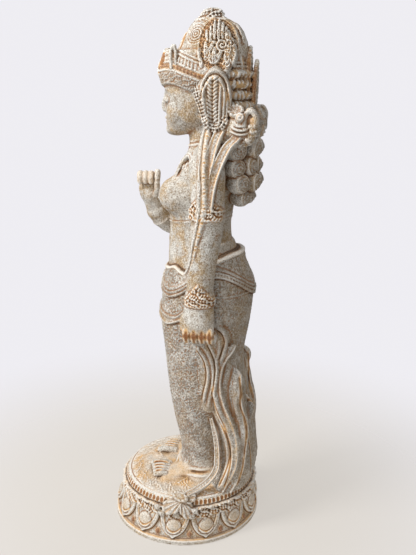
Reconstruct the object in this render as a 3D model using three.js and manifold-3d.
// A standing rice goddess on a round lotus base, cast in one piece of stone, one metre tall.
// She faces -Y, her left side is +X, and the origin is the centre of the flat underside.
// Every form is a closed shape, and they are joined into one solid. All sizes are in millimetres.
import * as THREE from "three";
import { mergeVertices } from "three/addons/utils/BufferGeometryUtils.js";
import Module from "manifold-3d";

const wasm = await Module();
wasm.setup();

// Driving dimensions
const HEIGHT = 1000;
const BASE_RADIUS = 150;
const BASE_TOP = 94;
const BASE_LEAN = 0.08; // the base's rings step back a little as they rise
const STAND_BACK = 4; // she is laid out about an upright line that stands this far behind the base's centre
const PETALS = 14;
const WELD = 0.05; // edges shorter than this close up where forms are joined
const STONE_COLOUR = 0xb9ae9c;

const LEFT = 1;
const RIGHT = -1;
const ACROSS = new THREE.Vector3(1, 0, 0);
const ALONG = new THREE.Vector3(0, 1, 0);
const UP = new THREE.Vector3(0, 0, 1);

// A closed geometry as a solid.
function solid(geometry) {
  const bare = new THREE.BufferGeometry();
  bare.setAttribute("position", geometry.getAttribute("position"));
  bare.setIndex(geometry.index);
  const welded = mergeVertices(bare, 1e-3);
  return new wasm.Manifold(
    new wasm.Mesh({
      numProp: 3,
      vertProperties: new Float32Array(welded.attributes.position.array),
      triVerts: new Uint32Array(welded.index.array),
      tolerance: WELD,
    }),
  );
}

// A closed body through stations [x, y, z, half width, half depth], each section square to the path. `side` is
// roughly the direction of the width.
function sweep(stations, { sides = 8, side = ACROSS } = {}) {
  const last = stations.length - 1;
  const geometry = new THREE.CylinderGeometry(1, 1, 1, sides, last);
  const position = geometry.getAttribute("position");
  const centres = stations.map(([x, y, z]) => new THREE.Vector3(x, y, z));
  for (let i = 0; i < position.count; i++) {
    const k = Math.round((position.getY(i) + 0.5) * last);
    const [, , , width, depth] = stations[k];
    const tangent = centres[Math.min(k + 1, last)].clone().sub(centres[Math.max(k - 1, 0)]).normalize();
    const across = side.clone().addScaledVector(tangent, -side.dot(tangent)).normalize();
    const out = across.clone().cross(tangent);
    const point = centres[k]
      .clone()
      .addScaledVector(across, position.getX(i) * width)
      .addScaledVector(out, position.getZ(i) * depth);
    position.setXYZ(i, point.x, point.y, point.z);
  }
  return solid(geometry);
}

// A closed body of level oval sections [y, z, half width, half depth], one above the other on the middle plane.
function stack(sections, sides) {
  const last = sections.length - 1;
  const geometry = new THREE.CylinderGeometry(1, 1, 1, sides, last);
  const position = geometry.getAttribute("position");
  for (let i = 0; i < position.count; i++) {
    const [y, z, width, depth] = sections[Math.round((position.getY(i) + 0.5) * last)];
    position.setXYZ(i, position.getX(i) * width, y - position.getZ(i) * depth, z);
  }
  return solid(geometry);
}

// A limb with blunt ends: one smaller station is added past each end.
function limb(stations, options = {}) {
  const end = ([x, y, z, width, depth], [nextX, nextY, nextZ]) => {
    const reach = 0.6 * Math.min(width, depth);
    const back = new THREE.Vector3(x - nextX, y - nextY, z - nextZ).setLength(reach);
    return [x + back.x, y + back.y, z + back.z, width * 0.6, depth * 0.6];
  };
  const last = stations.length - 1;
  const head = end(stations[0], stations[1]);
  const tail = end(stations[last], stations[last - 1]);
  return sweep([head, ...stations, tail], options);
}

// An ellipsoid with its half sizes along x, y and z, turned by an Euler rotation.
function ball([x, y, z], [rx, ry, rz], { across = 8, high = 5, turn = [0, 0, 0] } = {}) {
  const geometry = new THREE.SphereGeometry(1, across, high);
  geometry.rotateX(Math.PI / 2);
  geometry.scale(rx, ry, rz);
  geometry.applyMatrix4(new THREE.Matrix4().makeRotationFromEuler(new THREE.Euler(...turn)));
  geometry.translate(x, y, z);
  return solid(geometry);
}

// A pointed leaf from its foot to its tip, with its widest place low down. `face` is the way its broad side looks.
function leaf(foot, tip, width, thick, face, { sides = 4, bow = 0 } = {}) {
  const [a, b] = [new THREE.Vector3(...foot), new THREE.Vector3(...tip)];
  const outward = new THREE.Vector3(...face).normalize();
  const side = outward.clone().cross(b.clone().sub(a).normalize()).normalize();
  const shares = [
    [0, 0.62, 0.8],
    [0.35, 1, 1],
    [0.72, 0.66, 0.8],
    [1, 0.06, 0.25],
  ];
  const stations = shares.map(([along, w, d]) => {
    const p = a.clone().lerp(b, along).addScaledVector(outward, bow * Math.sin(Math.PI * along));
    return [p.x, p.y, p.z, (w * width) / 2, (d * thick) / 2];
  });
  return sweep(stations, { sides, side });
}

const mirrored = (rows) => rows.map(([x, ...rest]) => [-x, ...rest]);

// Lotus base: a plain foot, a slope of hanging petals, a band for the beads and a low domed top.
const FOOT_HIGH = 9;
const PETAL_TIP = 15; // height of a petal's tip
const PETAL_NOTCH = 38; // height at which two petals part
const PETAL_TOP = 68;
const PETAL_THICK = 8;
const BAND_RADIUS = 134;

// The rings are not round: they follow the petals, with three points on each petal and one between it and the next.
function base() {
  const across = (angle) => Math.abs(Math.sin((angle * PETALS) / 2)); // 1 in a petal's middle and 0 between two
  const slopeAt = (z) => BASE_RADIUS - 6 - ((z - FOOT_HIGH) * (BASE_RADIUS - BAND_RADIUS - 2)) / (PETAL_TOP - FOOT_HIGH);
  const edge = (angle) => PETAL_NOTCH + (PETAL_TIP - PETAL_NOTCH) * across(angle) ** 1.6;
  const rings = [
    () => [0, 0],
    () => [BASE_RADIUS, 0],
    () => [BASE_RADIUS, FOOT_HIGH],
    () => [slopeAt(FOOT_HIGH), FOOT_HIGH + 2],
    (a) => [slopeAt(edge(a)), edge(a)],
    (a) => [slopeAt(edge(a)) + PETAL_THICK * across(a) ** 0.5, edge(a) + 3],
    (a) => [slopeAt(PETAL_TOP - 14) + PETAL_THICK * across(a) ** 0.5, PETAL_TOP - 14],
    () => [BAND_RADIUS - 5, PETAL_TOP],
    () => [BAND_RADIUS, PETAL_TOP + 6],
    () => [BAND_RADIUS, BASE_TOP - 7],
    () => [BAND_RADIUS - 6, BASE_TOP - 1],
    () => [BASE_RADIUS * 0.4, BASE_TOP + 4],
    () => [0, BASE_TOP + 5],
  ];
  const profile = rings.map((ring, i) => new THREE.Vector2(i === 0 || i === rings.length - 1 ? 0 : 1, i));
  const geometry = new THREE.LatheGeometry(profile, 4 * PETALS);
  const position = geometry.getAttribute("position");
  for (let i = 0; i < position.count; i++) {
    const angle = Math.atan2(position.getX(i), position.getZ(i));
    const [radius, z] = rings[Math.round(position.getY(i))](angle);
    position.setXYZ(i, radius * Math.sin(angle), BASE_LEAN * z - STAND_BACK - radius * Math.cos(angle), z);
  }
  return solid(geometry);
}

// Lower body: the wrapped skirt, from its hem to the roll under the waist.
const SKIRT = [
  [37, 92, 66, 53],
  [34, 106, 60, 48],
  [32, 150, 54, 44],
  [29, 215, 60, 54],
  [30, 270, 68, 64],
  [34, 330, 78, 74],
  [36, 378, 85, 80],
  [38, 430, 91, 87],
  [42, 475, 93, 88],
  [43, 510, 91, 84],
  [40, 538, 85, 78],
  [37, 554, 79, 73],
];

// A point on a stacked body at a height and angle, lifted off its surface. A quarter turn is the front.
function onBody(sections, angle, z, lift) {
  const last = sections.length - 1;
  let i = 0;
  while (i < last - 1 && sections[i + 1][1] < z) i++;
  const f = (z - sections[i][1]) / (sections[i + 1][1] - sections[i][1]);
  const [y, , width, depth] = sections[i].map((v, c) => v + f * (sections[i + 1][c] - v));
  return [Math.cos(angle) * (width + lift), y - Math.sin(angle) * (depth + lift), z];
}

// Rings of the skirt: [height at the sides, sag in front, sag behind, lift off the body]. The two lifted rings are
// the sashes laid round the hips.
const SKIRT_RINGS = [
  [92, 0, 0, 0],
  [108, 0, 0, 0],
  [150, 0, 0, 0],
  [215, 0, 0, 0],
  [300, 0, 0, 0],
  [378, 0, 0, 0],
  [425, 8, 4, 0],
  [462, 30, 20, 0],
  [486, 46, 36, 0],
  [494, 46, 36, 6],
  [503, 44, 34, 0],
  [522, 42, 36, 0],
  [531, 42, 36, 6],
  [541, 40, 34, 0],
  [554, 40, 8, 0],
];

function skirt() {
  const sag = (angle, front, back) => (Math.sin(angle) > 0 ? front : back) * Math.sin(angle) ** 2;
  const geometry = new THREE.CylinderGeometry(1, 1, 1, 20, SKIRT_RINGS.length - 1);
  const position = geometry.getAttribute("position");
  for (let i = 0; i < position.count; i++) {
    const [c, y, s] = [position.getX(i), position.getY(i), position.getZ(i)];
    const [z, front, back, lift] = SKIRT_RINGS[Math.round((y + 0.5) * (SKIRT_RINGS.length - 1))];
    const angle = Math.atan2(s, c);
    const onAxis = Math.hypot(c, s) < 0.5;
    const point = onAxis ? [0, SKIRT[0][0], z - 20 * (z > 300)] : onBody(SKIRT, angle, z - sag(angle, front, back), lift);
    position.setXYZ(i, ...point);
  }
  return solid(geometry);
}

// Upper body with the neck.
const TORSO = [
  [37, 490, 78, 70],
  [33, 535, 73, 66],
  [29, 565, 67, 62],
  [28, 595, 61, 59],
  [28, 615, 60, 58],
  [31, 650, 66, 60],
  [37, 685, 76, 60],
  [42, 715, 80, 55],
  [45, 738, 70, 46],
  [44, 755, 44, 37],
  [40, 772, 31, 32],
  [37, 800, 29, 32],
];

const breast = (hand) => ball([hand * 37, -7, 672], [35, 36, 35], { across: 10, high: 7 });

// Arms, from the shoulder to the wrist.
const ARM_LEFT = [
  [72, 50, 742, 25, 25],
  [91, 56, 728, 31, 31],
  [104, 60, 690, 30, 30],
  [110, 61, 652, 28, 28],
  [113, 58, 612, 25, 28],
  [114, 53, 575, 24.5, 26],
  [114, 49, 540, 23.5, 25],
  [113, 47, 500, 21, 23.5],
  [112, 46, 470, 18, 22],
];
const ARM_RIGHT = [
  [-72, 50, 742, 25, 25],
  [-92, 52, 728, 31, 31],
  [-106, 40, 686, 29, 29],
  [-113, 17, 640, 27, 27],
  [-113, -8, 600, 25, 25],
  [-106, -34, 588, 24, 24],
  [-94, -54, 594, 23, 23],
  [-82, -68, 610, 21.5, 21.5],
  [-71, -78, 631, 19.5, 19.5],
  [-62, -84, 652, 17.5, 17.5],
];

// The left hand hangs closed round the stems.
function handLeft() {
  const parts = [ball([112, 46, 456], [17, 26, 30])];
  for (const along of [-20, -7, 6, 19]) {
    const y = 46 + along;
    parts.push(
      limb(
        [
          [121, y, 446, 7.5, 7.5],
          [119, y, 426, 7.5, 7.5],
          [102, y, 425, 6.8, 6.8],
        ],
        { sides: 4, side: ALONG },
      ),
    );
  }
  const thumb = [
    [112, 26, 472, 8, 8],
    [112, 18, 456, 7.5, 7.5],
    [108, 16, 438, 7, 7],
  ];
  parts.push(limb(thumb, { sides: 4, side: ACROSS }));
  return parts;
}

// The right hand is raised before the chest, its three outer fingers closed and the first one meeting the thumb.
function handRight() {
  const parts = [ball([-59, -88, 667], [13, 20, 25])];
  for (const y of [-101, -90, -79]) {
    parts.push(
      limb(
        [
          [-60, y, 684, 6, 6],
          [-50, y - 1, 696, 6, 6],
          [-41, y, 684, 5.5, 5.5],
        ],
        { sides: 4, side: ALONG },
      ),
    );
  }
  const first = [
    [-60, -71, 684, 6, 6],
    [-54, -68, 700, 5.8, 5.8],
    [-45, -66, 701, 5.5, 5.5],
    [-40, -66, 691, 5, 5],
  ];
  const thumb = [
    [-53, -72, 656, 6.5, 6.5],
    [-44, -67, 667, 6, 6],
    [-40, -66, 682, 5.2, 5.2],
  ];
  parts.push(limb(first, { sides: 4, side: ALONG }), limb(thumb, { sides: 4, side: ALONG }));
  return parts;
}

// Bare feet under the hem, toes forward.
function foot(hand) {
  const x = hand * 38;
  const parts = [
    limb(
      [
        [x, 4, 108, 17, 15],
        [x + hand * 2, -22, 105, 19, 11],
        [x + hand * 3, -44, 102, 20, 8],
      ],
      { sides: 8 },
    ),
  ];
  for (let i = 0; i < 5; i++) {
    const across = x + hand * (-12 + 7.4 * i);
    const r = i === 0 ? 5.2 : 4.2;
    const toe = [
      [across, -42, 103, r, r],
      [across, -66 + 2.6 * i, 101, r * 0.8, r * 0.6],
    ];
    parts.push(sweep(toe, { sides: 4 }));
  }
  return parts;
}

// Head: the skull and jaw, with a plain straight nose.
const HEAD = [
  [-14, 776, 9, 8],
  [-8, 783, 22, 24],
  [4, 794, 33, 38],
  [14, 808, 42, 48],
  [22, 824, 48, 57],
  [28, 846, 53, 63],
  [32, 868, 54, 68],
  [36, 900, 48, 64],
];

function nose() {
  const stations = [
    [0, -32, 856, 4, 3],
    [0, -34, 840, 5, 4],
    [0, -35, 827, 7, 6],
    [0, -32, 819, 8, 5],
  ];
  return limb(stations, { sides: 4 });
}

// Crown: the piled hair under a dome, from the brow band to the knob on top.
const CROWN = [
  [36, 868, 54, 72],
  [36, 874, 60, 79],
  [38, 892, 61, 82],
  [42, 897, 58, 78],
  [50, 909, 57, 72],
  [51, 924, 54, 63],
  [53, 942, 50, 57],
  [53, 960, 42, 47],
  [52, 974, 32, 35],
  [50, 981, 22, 23],
  [51, 992, 14, 15],
  [52, HEIGHT, 3, 3],
];
const BROW_BAND = { y: 37, width: 60, depth: 80, high: 894 };

// Upright pointed leaves on the brow band.
function crest() {
  const { y, width, depth, high } = BROW_BAND;
  return [90, 52, 128, 16, 164].map((degrees) => {
    const angle = (degrees * Math.PI) / 180;
    const [c, s] = [Math.cos(angle), Math.sin(angle)];
    const sink = 6 * (1 - s);
    const foot = [c * (width - 1), y - s * (depth - 1), high - 6 - sink];
    const tip = [c * (width - 6), y - s * (depth - 8), high + 36 - sink];
    return leaf(foot, tip, 27, 9, [c, -s, 0]);
  });
}

// A large scrolled leaf on each side of the crown, and stacked plates behind it.
const crownSideLeaf = (hand) => leaf([hand * 57, 56, 893], [hand * 33, 54, 975], 76, 18, [1 * hand, 0, 0.25]);

function crownBackPlates() {
  return [
    leaf([0, 118, 846], [0, 118, 925], 66, 26, [0, 1, 0], { bow: 4 }),
    leaf([0, 110, 905], [0, 92, 978], 60, 20, [0, 1, 0.4], { bow: 5 }),
  ];
}

// Ears of rice that hang over beside the face, one on each side.
function riceEar(hand) {
  const stations = [
    [hand * 62, 62, 897, 6, 5],
    [hand * 66, 64, 890, 16, 10],
    [hand * 69, 67, 868, 26, 15],
    [hand * 71, 68, 842, 28, 17],
    [hand * 71, 67, 818, 25, 17],
    [hand * 70, 64, 800, 19, 15],
    [hand * 68, 61, 790, 11, 9],
  ];
  return sweep(stations, { sides: 8, side: ALONG });
}

// Hair: thick locks pulled back over the head one above the other, and a mass behind the neck.
const LOCKS = 4;
const LOCK_HIGH = 18;

function hair() {
  const locks = [];
  for (let i = 0; i < LOCKS; i++) {
    const z = 808 + i * LOCK_HIGH;
    locks.push([72, z, 49, 42], [72, z + LOCK_HIGH / 2, 56, 52]);
  }
  const parts = [stack(locks, 10), ball([0, 82, 745], [68, 46, 88], { across: 10, high: 6 })];
  return parts;
}

// Rows of the bun: [height, how many curls, arc half angle in degrees, distance from the axis, radius of a curl]
const CURL_ROWS = [
  [788, 4, 58, 72, 22],
  [754, 3, 42, 79, 23],
  [722, 4, 60, 80, 22],
  [692, 3, 40, 74, 22],
  [668, 2, 20, 64, 18],
];
const CURL_AXIS_Y = 44;

function curls() {
  return CURL_ROWS.flatMap(([z, count, half, reach, radius]) =>
    Array.from({ length: count }, (_, i) => {
      const angle = THREE.MathUtils.degToRad(-half + (2 * half * i) / (count - 1));
      const centre = [Math.sin(angle) * reach, CURL_AXIS_Y + Math.cos(angle) * reach, z];
      return ball(centre, [radius, radius, radius * 0.92], { across: 6, high: 4 });
    }),
  );
}

// Stems that run from each hand up the arm: one to the ear of rice and one to the flower behind the shoulder.
const RICE_STEM = [
  [118, 24, 530, 5, 5],
  [126, 28, 556, 6, 5],
  [130, 31, 589, 6, 5],
  [132, 45, 629, 6.5, 5.5],
  [132, 54, 679, 6.5, 5.5],
  [125, 54, 708, 8, 6],
  [108, 54, 746, 10, 7],
  [88, 56, 772, 13, 9],
  [74, 58, 796, 13, 10],
];
const FLOWER_STEM = [
  [131, 42, 611, 5, 5],
  [132, 56, 638, 6, 6],
  [131, 63, 668, 6, 6],
  [125, 70, 706, 6.5, 6.5],
  [116, 82, 743, 6.5, 6.5],
  [96, 104, 772, 6.5, 6.5],
  [82, 114, 786, 6, 6],
];

// Her right arm is bent, so there the stems start from the upper arm.
function stems() {
  const rightRice = mirrored(RICE_STEM.slice(4));
  const rightFlower = [[-124, 52, 680, 6, 6], ...mirrored(FLOWER_STEM.slice(3))];
  return [RICE_STEM, FLOWER_STEM, rightRice, rightFlower].map((path) => limb(path, { sides: 4, side: ALONG }));
}

// An open lotus flower that looks along `face`: a cup whose rim is pulled out into petals, round a low heart.
function lotus(centre, face, radius, petals) {
  const geometry = new THREE.SphereGeometry(1, 4 * petals, 4);
  const position = geometry.getAttribute("position");
  const turn = new THREE.Quaternion().setFromUnitVectors(UP, new THREE.Vector3(...face).normalize());
  for (let i = 0; i < position.count; i++) {
    const [x, y, z] = [position.getX(i), position.getY(i), position.getZ(i)];
    const out = Math.hypot(x, z);
    const angle = Math.atan2(z, x);
    const petal = Math.abs(Math.sin((angle * petals) / 2)) ** 0.6;
    const reach = radius * out * (0.62 + 0.38 * petal);
    const rise = radius * (out > 0.9 ? 0.34 * petal * Math.sign(y + 0.1) + 0.1 : 0.5 * y);
    const point = new THREE.Vector3(Math.cos(angle) * reach, Math.sin(angle) * reach, rise).applyQuaternion(turn);
    position.setXYZ(i, point.x + centre[0], point.y + centre[1], point.z + centre[2]);
  }
  geometry.index.array.reverse();
  return solid(geometry);
}

// The clump of leaves that backs the legs, and the long leaves that stand out from it on each side.
const CLUMP = [
  [84, 92, 90, 50],
  [80, 130, 80, 42],
  [78, 180, 75, 40],
  [74, 240, 76, 40],
  [68, 300, 78, 42],
  [62, 350, 76, 44],
  [56, 405, 62, 44],
];
// Long leaves and stalks beside the skirt: stations [x, y, z, half width, half thickness] from the base to the tip,
// for her left side. The same leaves stand mirrored on her right.
const LONG_LEAVES = [
  [
    [101, 78, 95, 8, 6],
    [87, 84, 130, 11, 8],
    [77, 83, 175, 13, 9],
    [75, 70, 220, 12, 9],
    [77, 58, 275, 10, 9],
    [83, 62, 320, 10, 9],
    [88, 61, 360, 9, 8],
    [89, 60, 386, 3, 4],
  ],
  [
    [95, 97, 95, 8, 6],
    [82, 104, 136, 12, 8],
    [73, 104, 175, 14, 9],
    [74, 90, 230, 14, 10],
    [80, 79, 300, 13, 10],
    [84, 84, 345, 11, 9],
    [86, 98, 382, 6, 6],
    [85, 106, 398, 1.5, 2.5],
  ],
  [
    [82, 112, 95, 10, 6],
    [69, 116, 146, 14, 9],
    [62, 117, 190, 14, 10],
    [66, 108, 245, 13, 10],
    [71, 101, 290, 11, 9],
    [72, 106, 320, 6, 6],
    [71, 109, 333, 1.5, 2.5],
  ],
];

// The stalks gathered into her left hand.
const HAND_STALKS = [
  [82, 64, 318, 8, 8],
  [90, 61, 362, 10, 9],
  [101, 50, 430, 9, 8],
];

// The stalk of the flower on the base, on her left side only.
const FLOWER_STALK = [
  [70, 60, 228, 3, 4],
  [72, 74, 188, 4, 6],
  [80, 80, 150, 5, 6],
  [96, 70, 122, 5, 6],
  [112, 50, 108, 5, 6],
  [124, 24, 98, 5, 6],
];

// A short broad leaf that curls outwards in the middle of her back.
const BACK_LEAF = [
  [6, 124, 95, 22, 10],
  [6, 118, 150, 18, 10],
  [6, 116, 200, 15, 11],
  [6, 126, 228, 13, 10],
  [6, 132, 248, 9, 8],
  [6, 122, 272, 2, 3],
];

function plants() {
  const parts = [stack(CLUMP, 14), sweep(BACK_LEAF, { sides: 6 })];
  for (const stations of LONG_LEAVES) {
    for (const rows of [stations, mirrored(stations)]) parts.push(sweep(rows, { sides: 4, side: ALONG }));
  }
  parts.push(sweep(HAND_STALKS, { sides: 6, side: ALONG }));
  parts.push(sweep(FLOWER_STALK, { sides: 4, side: ALONG }));
  return parts;
}

function buildFigure() {
  const forms = [
    base(),
    skirt(),
    stack(TORSO, 12),
    breast(LEFT),
    breast(RIGHT),
    limb(ARM_LEFT, { sides: 8 }),
    limb(ARM_RIGHT, { sides: 8 }),
    ...handLeft(),
    ...handRight(),
    ...foot(LEFT),
    ...foot(RIGHT),
    stack(HEAD, 12),
    nose(),
    stack(CROWN, 14),
    ...crest(),
    crownSideLeaf(LEFT),
    crownSideLeaf(RIGHT),
    ...crownBackPlates(),
    riceEar(LEFT),
    riceEar(RIGHT),
    ...hair(),
    ...curls(),
    ...stems(),
    ...plants(),
    lotus([72, 110, 796], [0.75, 0.4, 0.5], 33, 5),
    lotus([-72, 110, 796], [-0.75, 0.4, 0.5], 33, 5),
    lotus([119, 5, 90], [0.85, 0, 0.5], 27, 5),
  ];
  const joined = forms.reduce((a, b) => a.add(b));
  // Small pockets shut in between the forms come out as bodies of their own, and are left solid.
  return joined.decompose().sort((a, b) => b.volume() - a.volume())[0];
}

// The joined solid as a geometry that three.js can draw.
function geometryOf(made) {
  const mesh = made.getMesh();
  const position = new Float32Array(mesh.numVert * 3);
  for (let i = 0; i < mesh.numVert; i++) {
    position.set(mesh.vertProperties.subarray(i * mesh.numProp, i * mesh.numProp + 3), i * 3);
  }
  const geometry = new THREE.BufferGeometry();
  geometry.setAttribute("position", new THREE.BufferAttribute(position, 3));
  geometry.setIndex(new THREE.BufferAttribute(mesh.triVerts, 1));
  geometry.computeVertexNormals();
  return geometry;
}

const stone = new THREE.MeshStandardMaterial({ color: STONE_COLOUR, roughness: 0.95, metalness: 0 });
const statue = new THREE.Mesh(geometryOf(buildFigure()), stone);
statue.name = "rice_goddess_statue";
statue.position.y = STAND_BACK;

const part = new THREE.Group();
part.add(statue);

export default part;
